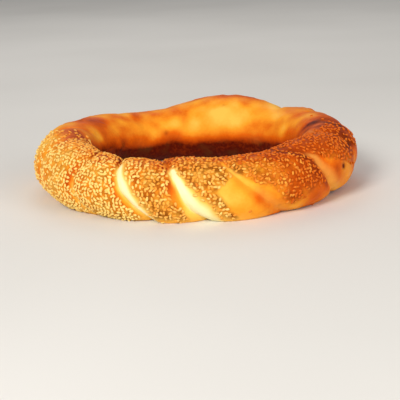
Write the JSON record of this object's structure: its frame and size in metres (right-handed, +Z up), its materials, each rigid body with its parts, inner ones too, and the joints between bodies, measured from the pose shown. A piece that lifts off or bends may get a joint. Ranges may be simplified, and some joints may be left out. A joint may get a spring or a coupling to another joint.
{
  "type": "simit",
  "caption": "Ring-shaped bread of two twisted strands, flat underneath, with a golden crust and sesame seeds over its near side.",
  "frame": {"origin": "middle of the ring's box, at the flat underside, in the hole", "axes": "+Z up, square to the ring; -Y is the seeded near side; +X is to the right seen from there"},
  "size_m": [0.1784, 0.1804, 0.0385],
  "materials": {
    "crust": "baked bread crust, golden brown, thinly glazed, satin",
    "sesame": "toasted sesame seeds, pale yellow to light brown, satin"
  },
  "bodies": {
    "root": {"simit": "crust"}
  },
  "joints": []
}
